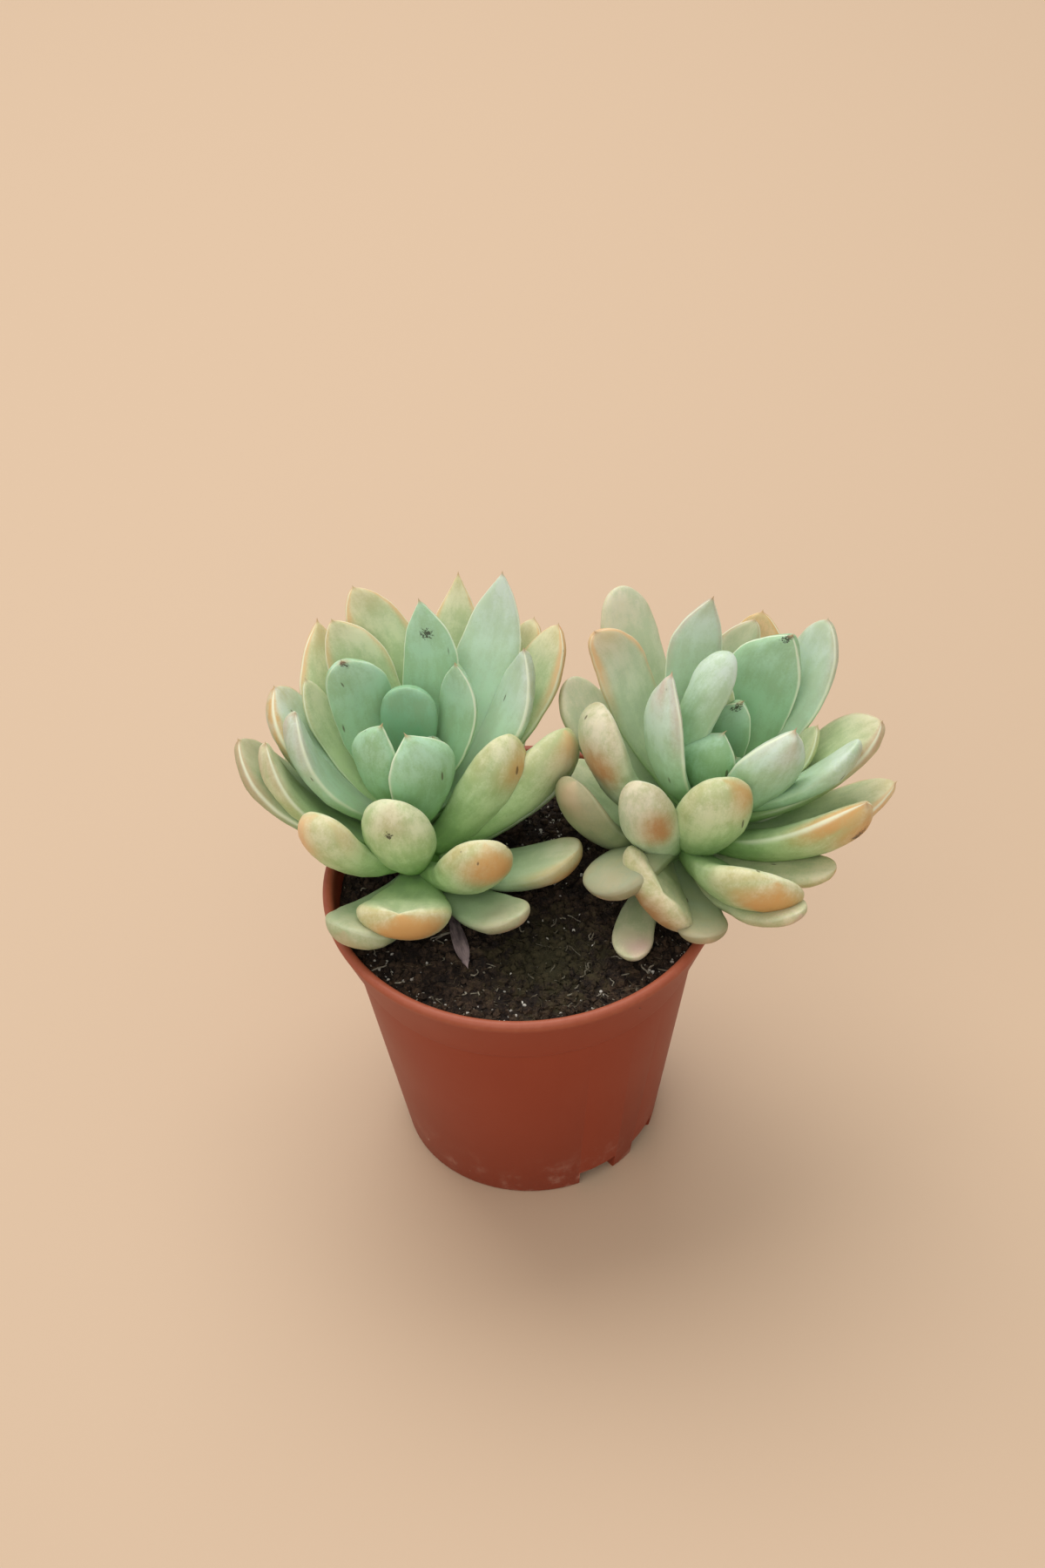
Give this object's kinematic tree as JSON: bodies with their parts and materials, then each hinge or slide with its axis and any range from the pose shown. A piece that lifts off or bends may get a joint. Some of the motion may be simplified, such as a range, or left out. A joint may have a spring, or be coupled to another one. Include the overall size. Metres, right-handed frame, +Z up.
{
  "type": "potted succulent plant",
  "caption": "Fleshy-leaved succulent rosettes growing side by side in dark soil in a small tapered terracotta-coloured plastic nursery pot; stands by itself on the pot's flat base",
  "frame": {"origin": "centre of the pot's flat underside, on the surface that the pot stands on", "axes": "+Z up out of the pot, +X towards the right rosette, -Y towards the side that the picture was taken from"},
  "size_m": [0.1225, 0.0827, 0.1109],
  "materials": {
    "pot_plastic": "satin moulded plastic",
    "potting_soil": "moist, crumbly",
    "leaf_left": "waxy bloom",
    "leaf_right": "waxy bloom",
    "dry_leaf": "dry and creased"
  },
  "bodies": {
    "root": {"pot": "pot_plastic", "soil": "potting_soil", "rosette_left": "leaf_left", "rosette_right": "leaf_right", "withered_leaf": "dry_leaf"}
  },
  "joints": []
}
